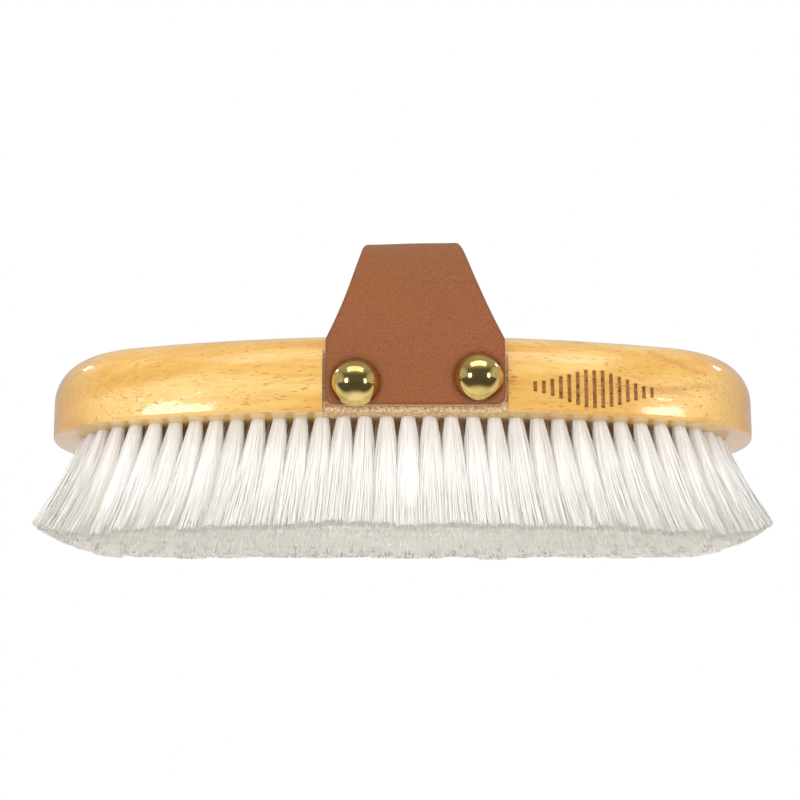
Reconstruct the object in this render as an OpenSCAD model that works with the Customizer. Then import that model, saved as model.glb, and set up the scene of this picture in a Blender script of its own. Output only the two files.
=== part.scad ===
// Oval hand brush with a leather hand strap, held on by domed nails.
// X runs along the brush, Y across it and Z up; the front of the brush is the -Y side.
// The origin is the centre of the bristle face, so the brush rests on Z = 0 with its tufts pointing down.
// Heights in the settings are measured from the block's underside. All sizes are in millimetres.

/* [Wooden block] */
// Length of the block over its rounded ends
block_length = 200; // [150:1:260]
// Width of the block at its middle
block_width = 90; // [60:1:110]
// Height of the block at its middle
block_height = 24.5; // [20:0.5:30]
// Plan radius of each rounded end
end_radius = 34; // [28:0.5:40]
// Height of the straight wall round the block
wall_height = 11; // [8:0.5:14]
// Radius of the shoulder above the wall
shoulder_radius = 12; // [8:0.5:13]
// Radius of the gentle camber between shoulder and flat top
camber_radius = 49.5; // [40:0.5:80]
// Rounding of the bottom edge
foot_radius = 1; // [0.5:0.1:2]

/* [Ornament] */
// Number of upright ticks cut in the front wall
tick_count = 15; // [5:2:21]
// Distance between ticks along the wall
tick_pitch = 2.35; // [1.8:0.05:3]
// Width of one tick
tick_width = 1; // [0.6:0.1:1.6]
// Height of the tallest tick, at the middle of the row
tick_tall = 10.4; // [6:0.1:11]
// Height of the ticks at the ends of the row
tick_short = 2.6; // [1:0.1:5]
// Depth of the ticks
tick_depth = 0.6; // [0.3:0.1:1]
// Distance along the wall from the middle of the brush to the middle of the row
tick_row_x = 52; // [45:0.5:60]
// Height of the row's centre line
tick_row_z = 7; // [5:0.1:8]

/* [Bristle tufts] */
// Distance from the block's edge to the outer ring of tufts
outer_inset = 9.7; // [8:0.1:12]
// Distance between neighbouring rings of tufts
ring_spacing = 6.9; // [6:0.1:9]
// Distance between neighbouring tufts in a ring
tuft_pitch = 5.8; // [5:0.05:7]
// Radius of the tuft where it enters the wood
root_radius = 1.5; // [1:0.05:2]
// Radius of the tuft where it has opened out
waist_radius = 2.35; // [2:0.05:2.8]
// Radius of the tuft at its tip
tip_radius = 2.85; // [2.4:0.05:3]
// Length of hair below the wood in the middle row, before it is trimmed level
hair_length = 32.3; // [25:0.1:45]
// How much shorter the hair of every ring is than the middle row
ring_trim = 0.8; // [0.7:0.1:3]
// How much more the outer ring is trimmed than the inner ones, which crowns the bristle face
edge_trim = 1.6; // [0:0.1:6]
// Share of the hair length over which the tuft opens out
flare_share = 0.45; // [0.2:0.05:0.7]
// How far the tips fan out lengthways, as a share of the root's distance from the middle
fan_length = 0.13; // [0:0.01:0.25]
// How far the tips fan out sideways, as a share of the root's distance from the middle
fan_width = 0.17; // [0:0.01:0.4]
// Depth below the wood at which the middle row is trimmed level
trim_depth = 31.8; // [25:0.1:45]
// Radius of the holes the tufts are set in
hole_radius = 1.7; // [1.2:0.05:2.2]
// Depth of the holes the tufts are set in
hole_depth = 5.4; // [5:0.1:6]

/* [Tuft anchors] */
// Width of the flat wire anchor that pins each folded tuft
anchor_width = 2.8; // [2:0.1:3.2]
// Thickness of the anchor wire
anchor_thickness = 0.4; // [0.2:0.05:0.6]
// Height of the anchor
anchor_height = 1.5; // [1:0.1:2.5]
// Height of the anchor's lower edge inside the hole
anchor_z = 3.1; // [2.5:0.1:4]
// Clearance between the anchor and the hair folded over it
anchor_clearance = 0.12; // [0.1:0.01:0.2]

/* [Leather strap] */
// Thickness of the leather
leather_thickness = 2.8; // [2:0.1:4]
// Outer radius of the arch the strap makes over the block
arch_radius = 45.5; // [40:0.5:55]
// Height of the arch's centre above the block's underside
arch_centre_z = 12.5; // [8:0.5:18]
// Half the width of the strap over the nails
strap_half_width = 24; // [18:0.5:30]
// Half the width of the strap at the top of the arch
crown_half_width = 13.35; // [10:0.05:20]
// Height at which the strap starts to narrow
taper_start_z = 19.8; // [15:0.1:25]
// How far the narrowing edges curve in from a straight line
edge_bow = 1.56; // [0.5:0.02:3]
// Height of the strap's lower edge above the block's underside
strap_foot_z = 1.4; // [0:0.1:4]
// Rounding of the strap's lower corners
strap_corner_radius = 3; // [1:0.5:6]
// Distance the strap stands off the middle of the block
strap_x = 3.3; // [-5:0.1:5]
// Half the distance between the two places where the arch is free to bend
bend_y = 34; // [25:0.5:38]
// Gap left at each bend
bend_gap = 0.3; // [0.2:0.1:0.6]

/* [Strap recess] */
// Width of wood left bare on each side of the strap
recess_margin = 0.8; // [0.5:0.1:3]
// Clearance between the leather and the recess it lies in
recess_clearance = 0.3; // [0.2:0.05:0.6]

/* [Domed nails] */
// Diameter of the domed cap
cap_diameter = 13; // [8:0.5:16]
// Height of the domed cap
cap_height = 4.8; // [3:0.1:6]
// Thickness of the cap's sheet brass
cap_wall = 0.7; // [0.4:0.1:1]
// Radius of the boss inside the cap that holds the shank
boss_radius = 1.9; // [1.4:0.1:2.5]
// Radius of the steel shank
shank_radius = 0.75; // [0.6:0.05:1]
// Length of the shank
shank_length = 18; // [12:0.5:24]
// Length of the shank's point
shank_point = 2.5; // [1:0.5:4]
// Clearance round the shank in cap, leather and wood
shank_clearance = 0.12; // [0.1:0.01:0.2]
// Distance of the left nails along the brush
left_nail_x = -12.7; // [-18:0.1:-6]
// Height of the left nails
left_nail_z = 7.4; // [6.6:0.1:9]
// Distance of the right nails along the brush
right_nail_x = 20.2; // [14:0.1:22]
// Height of the right nails
right_nail_z = 8.9; // [6.6:0.1:9]

/* [Hidden] */
$fn = 48;
large_arc_faces = 96;
half_length = block_length / 2;
half_width = block_width / 2;
side_radius = side_arc_radius(half_length, half_width, end_radius);
end_centre_x = half_length - end_radius;
side_centre_y = side_radius - half_width;
camber_rise = camber_radius - block_height + wall_height;
camber_reach = sqrt(pow(camber_radius - shoulder_radius, 2) - pow(camber_rise, 2));
flat_start = shoulder_radius + camber_reach;
cut_margin = 1;

ring_count = 5;
ring_end_share = 0.756;
ring_stagger = 0.3;
trim_slab = 10;
slot_half = anchor_thickness / 2 + anchor_clearance;
plug_gap = 0.1;
plug_top = hole_depth - plug_gap;

leather_inner = arch_radius - leather_thickness;
crown_z = arch_centre_z + arch_radius;
recess_radius = leather_inner - recess_clearance;
recess_half_width = strap_half_width + recess_margin;
chord = [crown_half_width - strap_half_width, crown_z - taper_start_z];
chord_length = norm(chord);
edge_radius = chord_length * chord_length / (8 * edge_bow) + edge_bow / 2;
edge_normal = [chord.y, -chord.x] / chord_length;
edge_centre = [strap_half_width, taper_start_z] + chord / 2 + edge_normal * (edge_radius - edge_bow);

cap_radius = cap_diameter / 2;
dome_radius = (cap_radius * cap_radius + cap_height * cap_height) / (2 * cap_height);
cap_gap = 0.1;
cap_seat_y = arch_radius + cap_gap;
cap_rim = 0.5;
shank_head_y = cap_seat_y + cap_height - cap_wall - cap_gap;
shank_hole_radius = shank_radius + shank_clearance;

WOOD = [0.89, 0.74, 0.48];
HAIR = [0.94, 0.91, 0.85];
LEATHER = [0.62, 0.43, 0.34];
BRASS = [0.78, 0.63, 0.30];
STEEL = [0.62, 0.63, 0.65];

// Radius of the long side arcs of a four-arc oval with half axes a and b and end radius r
function side_arc_radius(a, b, r) = (a * a + b * b - 2 * a * r) / (2 * (b - r));

// Half axes and end radius of tuft ring k, counted inwards from 0
function ring_a(k) = half_length - outer_inset - k * ring_spacing;
function ring_b(k) = half_width - outer_inset - k * ring_spacing;
function ring_r(k) = ring_b(k) * ring_end_share;

// Length of a quarter of a four-arc oval, and the point at distance s from its +X tip
function end_arc_angle(a, b, r) = atan2(side_arc_radius(a, b, r) - b, a - r);
function quarter_length(a, b, r) =
    let (q = end_arc_angle(a, b, r))
    (r * q + side_arc_radius(a, b, r) * (90 - q)) * PI / 180;
function quarter_point(a, b, r, s) =
    let (
        big = side_arc_radius(a, b, r),
        q = end_arc_angle(a, b, r),
        end_length = r * q * PI / 180,
        t = s < end_length ? s / r * 180 / PI : q + (s - end_length) / big * 180 / PI
    )
    s < end_length
        ? [a - r + r * cos(t), r * sin(t)]
        : [big * cos(t), big * sin(t) - (big - b)];
function oval_point(a, b, r, s) =
    let (
        quarter = quarter_length(a, b, r),
        n = floor(s / quarter),
        along = n % 2 == 0 ? s - n * quarter : (n + 1) * quarter - s,
        p = quarter_point(a, b, r, along)
    )
    [n == 0 || n == 3 ? p.x : -p.x, n < 2 ? p.y : -p.y];

// Tuft positions of ring k, evenly spaced round its oval
function ring_points(k) =
    let (
        a = ring_a(k),
        b = ring_b(k),
        r = ring_r(k),
        perimeter = 4 * quarter_length(a, b, r),
        n = round(perimeter / tuft_pitch)
    )
    [for (i = [0:n - 1]) oval_point(a, b, r, (i + k * ring_stagger) * perimeter / n)];

// Tuft positions of the straight row along the middle
function row_points() =
    let (m = floor((ring_a(ring_count - 1) - ring_spacing) / tuft_pitch))
    [for (i = [-m:m]) [i * tuft_pitch, 0]];

function all_points() = [
    for (k = [0:ring_count - 1]) each ring_points(k),
    each row_points()
];

// Section of the block from radius inner out to its wall at radius outer
module block_section(outer, inner) {
    shoulder_x = outer - shoulder_radius;
    flat_x = outer - flat_start;
    reach = (camber_radius + cut_margin) / (camber_radius - shoulder_radius);
    intersection() {
        translate([inner, 0])
            square([outer - inner, block_height]);
        union() {
            translate([inner, 0])
                square([outer - foot_radius - inner, foot_radius]);
            translate([outer - foot_radius, foot_radius])
                circle(foot_radius);
            translate([inner, foot_radius])
                square([outer - inner, wall_height - foot_radius]);
            translate([shoulder_x, wall_height])
                circle(shoulder_radius);
            intersection() {
                translate([flat_x, block_height - camber_radius])
                    circle(camber_radius);
                polygon([
                    [flat_x, wall_height],
                    [shoulder_x, wall_height],
                    [flat_x + camber_reach * reach, block_height - camber_radius + camber_rise * reach],
                    [flat_x, block_height + cut_margin]
                ]);
            }
            translate([inner, wall_height])
                square([flat_x - inner, block_height - wall_height]);
        }
    }
}

// The plain oval block: two round ends and two long sides that meet tangentially.
// The planes that part them run through the centres of both arcs.
module oval_block() {
    corner = [1.5 * end_centre_x, 0.5 * side_centre_y];
    for (side = [0, 1]) {
        mirror([side, 0, 0])
            intersection() {
                translate([end_centre_x, 0, 0])
                    rotate_extrude()
                        block_section(end_radius, 0);
                translate([0, 0, -cut_margin])
                    linear_extrude(block_height + 2 * cut_margin)
                        polygon([
                            [end_centre_x, 0],
                            [corner.x, -corner.y],
                            [block_length, -corner.y],
                            [block_length, corner.y],
                            corner
                        ]);
            }
        mirror([0, side, 0])
            intersection() {
                translate([0, side_centre_y, 0])
                    rotate_extrude()
                        block_section(side_radius, side_centre_y);
                translate([0, 0, -cut_margin])
                    linear_extrude(block_height + 2 * cut_margin)
                        polygon([
                            [0, side_centre_y],
                            [-corner.x, -corner.y],
                            [corner.x, -corner.y]
                        ]);
            }
    }
}

// Everything inside radius r of the arch: the space under the strap
module arch_core(r, length) {
    rotate([90, 0, 90])
        linear_extrude(length, center = true)
            union() {
                translate([0, arch_centre_z])
                    circle(r, $fn = large_arc_faces);
                translate([-r, -2 * cut_margin])
                    square([2 * r, arch_centre_z + 2 * cut_margin]);
            }
}

// Shallow recess in each long side that follows the strap
module strap_recess() {
    translate([strap_x, 0, 0])
        difference() {
            translate([-recess_half_width, -block_width, -cut_margin])
                cube([2 * recess_half_width, 2 * block_width, block_height + 2 * cut_margin]);
            arch_core(recess_radius, 2 * recess_half_width + cut_margin);
        }
}

// Upright ticks that grow and shrink along the row, cut across the front wall
module ornament() {
    step = tick_pitch / side_radius * 180 / PI;
    middle = (tick_count - 1) / 2;
    first = tick_row_x / side_radius * 180 / PI;
    for (i = [0:tick_count - 1]) {
        height = tick_short + (tick_tall - tick_short) * pow(sin(180 * (i + 0.5) / tick_count), 2);
        translate([0, side_centre_y, tick_row_z])
            rotate([0, 0, first + (i - middle) * step])
                translate([0, -side_radius, 0])
                    cube([tick_width, 2 * tick_depth, height], center = true);
    }
}

// One nail's place: side is -1 for the front and 1 for the back; the axis points out of the wood
module at_nail(side, x, z) {
    translate([x, 0, z])
        rotate([-90 * side, 0, 0])
            children();
}

module nail_holes() {
    for (side = [-1, 1])
        for (place = [[left_nail_x, left_nail_z], [right_nail_x, right_nail_z]])
            at_nail(side, place.x, place.y)
                translate([0, 0, shank_head_y - shank_length - shank_clearance])
                    cylinder(h = shank_length, r = shank_hole_radius);
}

// Raises a piece from the block's own frame, so that the trimmed tips rest on Z = 0
module seated() {
    translate([0, 0, trim_depth])
        children();
}

module block() {
    color(WOOD)
        seated()
            difference() {
                oval_block();
                strap_recess();
                ornament();
                nail_holes();
                for (p = all_points())
                    at_tuft(p)
                        translate([0, 0, -2 * cut_margin])
                            cylinder(h = hole_depth + 2 * cut_margin, r = hole_radius);
            }
}

// A tuft's place: its own +Z axis runs up its hole, and -Z runs down the hair, leaning outwards
function fan_of(p) = [p.x * fan_length, p.y * fan_width];
function lean_of(p) = asin(norm(fan_of(p)) / hair_length);

module at_tuft(p) {
    translate([p.x, p.y, 0])
        rotate([0, -lean_of(p), atan2(fan_of(p).y, fan_of(p).x)])
            children();
}

// One tuft: a folded plug of hair in its hole, and the hair below, opening out
module tuft(p, length) {
    flare = length * flare_share;
    at_tuft(p)
        difference() {
            rotate_extrude()
                polygon([
                    [0, plug_top],
                    [root_radius, plug_top],
                    [root_radius, 0],
                    [waist_radius, -flare],
                    [tip_radius, -length],
                    [0, -length]
                ]);
            translate([-2 * root_radius, -slot_half, anchor_z - anchor_clearance])
                cube([4 * root_radius, 2 * slot_half, anchor_height + 2 * anchor_clearance]);
        }
}

module tufts_ring(k) {
    share = (ring_count - k) / ring_count;
    color(HAIR)
        seated()
            for (p = ring_points(k))
                tuft(p, hair_length - ring_trim - edge_trim * share * share);
}

// The straight middle row, trimmed level so that the brush rests on it
module tufts_middle_row() {
    color(HAIR)
        seated()
            difference() {
                for (p = row_points())
                    tuft(p, hair_length);
                translate([-block_length, -block_width, -trim_depth - trim_slab])
                    cube([2 * block_length, 2 * block_width, trim_slab]);
            }
}

// Flat wire anchors, one across each hole, with the tuft folded over it
module anchors(points) {
    color(STEEL)
        seated()
            for (p = points)
                at_tuft(p)
                    translate([-anchor_width / 2, -anchor_thickness / 2, anchor_z])
                        cube([anchor_width, anchor_thickness, anchor_height]);
}

// Outline of the strap seen from the front: wide over the nails, narrow over the hand
module strap_outline() {
    top = crown_z + cut_margin;
    low = strap_foot_z + strap_corner_radius;
    difference() {
        union() {
            translate([-strap_half_width, low])
                square([2 * strap_half_width, top - low]);
            translate([strap_corner_radius - strap_half_width, strap_foot_z])
                square([2 * (strap_half_width - strap_corner_radius), strap_corner_radius]);
            for (side = [-1, 1])
                translate([side * (strap_half_width - strap_corner_radius), low])
                    circle(strap_corner_radius);
        }
        for (side = [-1, 1])
            translate([side * edge_centre.x, edge_centre.y])
                circle(edge_radius, $fn = large_arc_faces);
    }
}

// The whole strap as one piece of leather bent over the block
module strap() {
    translate([strap_x, 0, 0])
        difference() {
            intersection() {
                arch_core(arch_radius, 2 * strap_half_width + cut_margin);
                rotate([90, 0, 0])
                    linear_extrude(block_width + 4 * leather_thickness, center = true)
                        strap_outline();
            }
            arch_core(leather_inner, 3 * strap_half_width);
        }
}

// A slab across the brush from y0 to y1 that selects part of the strap
module across(y0, y1) {
    translate([strap_x - block_width, y0, -cut_margin])
        cube([2 * block_width, y1 - y0, 2 * crown_z]);
}

module strap_end(side) {
    inner = bend_y + bend_gap / 2;
    color(LEATHER)
        seated()
            difference() {
                intersection() {
                    strap();
                    across(side < 0 ? -block_width : inner, side < 0 ? -inner : block_width);
                }
                nail_holes();
            }
}

module strap_end_front() {
    strap_end(-1);
}

module strap_end_back() {
    strap_end(1);
}

module strap_crown() {
    reach = bend_y - bend_gap / 2;
    color(LEATHER)
        seated()
            intersection() {
                strap();
                across(-reach, reach);
            }
}

// Domed cap of sheet brass with a rolled rim and a socket for the shank
module nail_cap(side, x, z) {
    inner_radius = dome_radius - cap_wall;
    centre = cap_height - dome_radius;
    color(BRASS)
        seated()
            at_nail(side, x, z)
                translate([0, 0, cap_seat_y])
                    rotate_extrude()
                        difference() {
                            union() {
                                intersection() {
                                    difference() {
                                        translate([0, centre])
                                            circle(dome_radius, $fn = large_arc_faces);
                                        translate([0, centre])
                                            circle(inner_radius, $fn = large_arc_faces);
                                    }
                                    square([cap_radius, cap_height]);
                                }
                                translate([cap_radius - 2 * cap_rim, 0])
                                    square([1.5 * cap_rim, cap_rim]);
                                translate([0, cap_height / 2])
                                    square([boss_radius, cap_height / 2 - cap_wall / 2]);
                            }
                            square([shank_hole_radius, cap_height - cap_wall]);
                        }
}

// Steel shank with a pointed end, pressed into the cap's socket
module nail_shank(side, x, z) {
    color(STEEL)
        seated()
            at_nail(side, x, z)
                translate([0, 0, shank_head_y - shank_length])
                    union() {
                        translate([0, 0, shank_point])
                            cylinder(h = shank_length - shank_point, r = shank_radius);
                        cylinder(h = shank_point, r1 = shank_radius / 4, r2 = shank_radius);
                    }
}

module nail_cap_front_left() {
    nail_cap(-1, left_nail_x, left_nail_z);
}

module nail_cap_front_right() {
    nail_cap(-1, right_nail_x, right_nail_z);
}

module nail_cap_back_left() {
    nail_cap(1, left_nail_x, left_nail_z);
}

module nail_cap_back_right() {
    nail_cap(1, right_nail_x, right_nail_z);
}

module nail_shank_front_left() {
    nail_shank(-1, left_nail_x, left_nail_z);
}

module nail_shank_front_right() {
    nail_shank(-1, right_nail_x, right_nail_z);
}

module nail_shank_back_left() {
    nail_shank(1, left_nail_x, left_nail_z);
}

module nail_shank_back_right() {
    nail_shank(1, right_nail_x, right_nail_z);
}

block();
tufts_ring(0);  // tufts_ring_1
tufts_ring(1);  // tufts_ring_2
tufts_ring(2);  // tufts_ring_3
tufts_ring(3);  // tufts_ring_4
tufts_ring(4);  // tufts_ring_5
tufts_middle_row();
anchors(ring_points(0));  // anchors_ring_1
anchors(ring_points(1));  // anchors_ring_2
anchors(ring_points(2));  // anchors_ring_3
anchors(ring_points(3));  // anchors_ring_4
anchors(ring_points(4));  // anchors_ring_5
anchors(row_points());  // anchors_middle_row
strap_end_front();
strap_crown();
strap_end_back();
nail_cap_front_left();
nail_cap_front_right();
nail_cap_back_left();
nail_cap_back_right();
nail_shank_front_left();
nail_shank_front_right();
nail_shank_back_left();
nail_shank_back_right();
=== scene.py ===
"""Oval hand brush with a leather strap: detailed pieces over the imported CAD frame."""

import math

import bmesh
import bpy
import numpy as np
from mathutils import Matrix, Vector


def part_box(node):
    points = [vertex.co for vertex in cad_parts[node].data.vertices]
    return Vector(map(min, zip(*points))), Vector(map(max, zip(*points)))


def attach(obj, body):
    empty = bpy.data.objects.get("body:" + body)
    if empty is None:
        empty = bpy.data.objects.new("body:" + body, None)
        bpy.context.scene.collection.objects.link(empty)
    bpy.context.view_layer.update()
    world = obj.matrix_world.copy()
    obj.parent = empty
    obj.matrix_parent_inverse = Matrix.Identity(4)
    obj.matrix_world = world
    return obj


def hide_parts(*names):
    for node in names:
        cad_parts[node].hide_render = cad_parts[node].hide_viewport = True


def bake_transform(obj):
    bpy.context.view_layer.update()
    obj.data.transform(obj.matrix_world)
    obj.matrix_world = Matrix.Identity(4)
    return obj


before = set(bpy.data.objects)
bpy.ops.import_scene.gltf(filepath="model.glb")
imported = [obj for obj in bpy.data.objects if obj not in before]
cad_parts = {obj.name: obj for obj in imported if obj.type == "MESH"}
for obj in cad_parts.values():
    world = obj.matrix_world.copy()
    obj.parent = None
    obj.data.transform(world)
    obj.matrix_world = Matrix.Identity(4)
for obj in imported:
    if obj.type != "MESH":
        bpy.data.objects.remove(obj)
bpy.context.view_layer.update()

MM = 0.001
BODY = "brush"

# ---------------------------------------------------------------- sizes, from the CAD
# Everything is built in the block's own frame, with z = 0 at its underside, and then raised by BASE.
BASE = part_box("block")[0].z


def sizes(node):
    lo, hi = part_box(node)
    return lo - Vector((0, 0, BASE)), hi - Vector((0, 0, BASE))


_, block_hi = sizes("block")
_, crown_hi = sizes("strap_crown")
end_lo, end_hi = sizes("strap_end_front")
NAILS = {n: sizes(n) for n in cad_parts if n.startswith("nail_cap")}

HALF_LENGTH = block_hi.x
BLOCK_TOP = block_hi.z
HALF_WIDTH = 45 * MM
END_R = 34 * MM  # of the block's rounded ends, in plan
WALL = 11 * MM  # height of the upright part of the side
SHOULDER_R = 12 * MM
CAMBER_R = 49.5 * MM  # of the domed back, across the brush
FOOT_R = 1 * MM

STRAP_X = (end_lo.x + end_hi.x) / 2
STRAP_HALF = (end_hi.x - end_lo.x) / 2
STRAP_FOOT = end_lo.z
ARCH_R = -end_lo.y
ARCH_Z = crown_hi.z - ARCH_R
CROWN_HALF = 13.35 * MM
CROWN_FADE = 8 * MM  # distance below the crown's top at which the leather reaches its upper tone
TAPER_Z = 19.8 * MM  # below this the strap is straight, above it the strap narrows
EDGE_BOW = 1.56 * MM
LEATHER = 3.0 * MM
RECESS_R = 42.4 * MM
RECESS_HALF = STRAP_HALF + 0.8 * MM

# ---------------------------------------------------------------- small helpers


def new_mesh(name, verts, quads, materials, smooth=True, index=None, lift=BASE):
    """An object from arrays of points and four-sided faces; index gives a material to each face."""
    me = bpy.data.meshes.new(name)
    verts = np.asarray(verts, float) + np.array([0, 0, lift])
    quads = np.asarray(quads, np.int32)
    me.vertices.add(len(verts))
    me.vertices.foreach_set("co", np.asarray(verts, np.float32).ravel())
    me.loops.add(quads.size)
    me.loops.foreach_set("vertex_index", quads.ravel())
    me.polygons.add(len(quads))
    me.polygons.foreach_set("loop_start", np.arange(0, quads.size, 4, dtype=np.int32))
    me.polygons.foreach_set("use_smooth", np.full(len(quads), smooth))
    for m in materials:
        me.materials.append(m)
    if index is not None:
        me.polygons.foreach_set("material_index", np.asarray(index, np.int32))
    me.update(calc_edges=True)
    me.validate()
    ob = bpy.data.objects.new(name, me)
    bpy.context.scene.collection.objects.link(ob)
    return ob


def grid_quads(rows, cols, wrap=False, start=0):
    """Faces of a grid of rows by cols points, stored row by row."""
    i = np.arange(rows - 1)[:, None] * cols
    j = np.arange(cols if wrap else cols - 1)[None, :]
    k = (j + 1) % cols
    return (np.stack([i + j, i + k, i + cols + k, i + cols + j], -1) + start).reshape(-1, 4)


def add_value(ob, name, values):
    attribute = ob.data.attributes.new(name, "FLOAT", "POINT")
    attribute.data.foreach_set("value", np.asarray(values, np.float32))


def smooth_step(a, b, x):
    t = np.clip((x - a) / (b - a), 0, 1)
    return t * t * (3 - 2 * t)


def normals_out(ob):
    """Turns all faces outwards."""
    bm = bmesh.new()
    bm.from_mesh(ob.data)
    bmesh.ops.recalc_face_normals(bm, faces=bm.faces)
    bm.to_mesh(ob.data)
    bm.free()


# ---------------------------------------------------------------- four-arc ovals


class Oval:
    """A plan oval of four tangent arcs, with half axes a and b and end radius r."""

    def __init__(self, a, b, r):
        self.a, self.b, self.r = a, b, r
        self.side = (a * a + b * b - 2 * a * r) / (2 * (b - r))
        self.angle = math.atan2(self.side - b, a - r)
        self.end_length = r * self.angle
        self.quarter = self.end_length + self.side * (math.pi / 2 - self.angle)

    def points(self, s):
        """Points and outward normals at distances s, anticlockwise from the +X tip."""
        s = np.asarray(s, float)
        m = np.floor(s / self.quarter)
        along = np.where(m % 2 == 0, s - m * self.quarter, (m + 1) * self.quarter - s)
        on_end = along < self.end_length
        t = np.where(on_end, along / self.r, self.angle + (along - self.end_length) / self.side)
        x = np.where(on_end, self.a - self.r + self.r * np.cos(t), self.side * np.cos(t))
        y = np.where(on_end, self.r * np.sin(t), self.side * np.sin(t) - (self.side - self.b))
        sx = np.where((m % 4 == 0) | (m % 4 == 3), 1, -1)
        sy = np.where(m % 4 < 2, 1, -1)
        p = np.stack([x * sx, y * sy], -1)
        n = np.stack([np.cos(t) * sx, np.sin(t) * sy], -1)
        return p, n


# ---------------------------------------------------------------- node materials


RANGE_INPUTS = ("From Min", "From Max", "To Min", "To Max")


class Nodes:
    """A short way to write a node material."""

    def __init__(self, name):
        self.material = bpy.data.materials.new(name)
        self.material.use_nodes = True
        self.tree = self.material.node_tree
        self.out = self.tree.nodes["Material Output"]
        self.bsdf = self.tree.nodes["Principled BSDF"]
        self.coords = self.add("ShaderNodeTexCoord").outputs["Object"]

    def add(self, kind, **values):
        node = self.tree.nodes.new(kind)
        for key, value in values.items():
            setattr(node, key, value)
        return node

    def link(self, source, target):
        if isinstance(source, (int, float)):
            target.default_value = source
        elif isinstance(source, tuple):
            full = len(source) == len(target.default_value)
            target.default_value = source if full else (*source, 1.0)
        else:
            self.tree.links.new(source, target)

    def set(self, **values):
        for key, value in values.items():
            self.link(value, self.bsdf.inputs[key.replace("_", " ")])

    def scaled(self, x, y, z, shift=(0, 0, 0)):
        m = self.add("ShaderNodeMapping")
        self.link(self.coords, m.inputs["Vector"])
        m.inputs["Scale"].default_value = (x, y, z)
        m.inputs["Location"].default_value = shift
        return m.outputs["Vector"]

    def noise(self, vector, detail=2.0, rough=0.5, distort=0.0):
        n = self.add("ShaderNodeTexNoise")
        self.link(vector, n.inputs["Vector"])
        n.inputs["Scale"].default_value = 1.0
        n.inputs["Detail"].default_value = detail
        n.inputs["Roughness"].default_value = rough
        n.inputs["Distortion"].default_value = distort
        return n.outputs["Fac"]

    def cells(self, vector):
        v = self.add("ShaderNodeTexVoronoi", feature="SMOOTH_F1")
        self.link(vector, v.inputs["Vector"])
        v.inputs["Scale"].default_value = 1.0
        return v.outputs["Distance"]

    def ramp(self, value, low, high, to_low=0.0, to_high=1.0):
        n = self.add("ShaderNodeMapRange", interpolation_type="SMOOTHSTEP")
        self.link(value, n.inputs["Value"])
        for key, v in zip(RANGE_INPUTS, (low, high, to_low, to_high)):
            self.link(v, n.inputs[key])
        return n.outputs["Result"]

    def math(self, operation, a, b=0.0):
        n = self.add("ShaderNodeMath", operation=operation)
        self.link(a, n.inputs[0])
        self.link(b, n.inputs[1])
        return n.outputs[0]

    def mix(self, factor, a, b, blend="MIX"):
        n = self.add("ShaderNodeMix", data_type="RGBA", blend_type=blend)
        self.link(factor, n.inputs["Factor"])
        self.link(a, n.inputs[6])
        self.link(b, n.inputs[7])
        return n.outputs[2]

    def value(self, name):
        return self.add("ShaderNodeAttribute", attribute_name=name).outputs["Fac"]

    def bump(self, height, distance, strength):
        n = self.add("ShaderNodeBump")
        self.link(height, n.inputs["Height"])
        n.inputs["Distance"].default_value = distance
        n.inputs["Strength"].default_value = strength
        return n.outputs["Normal"]

    def axis(self, index):
        n = self.add("ShaderNodeSeparateXYZ")
        self.link(self.coords, n.inputs[0])
        return n.outputs[index]


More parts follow.
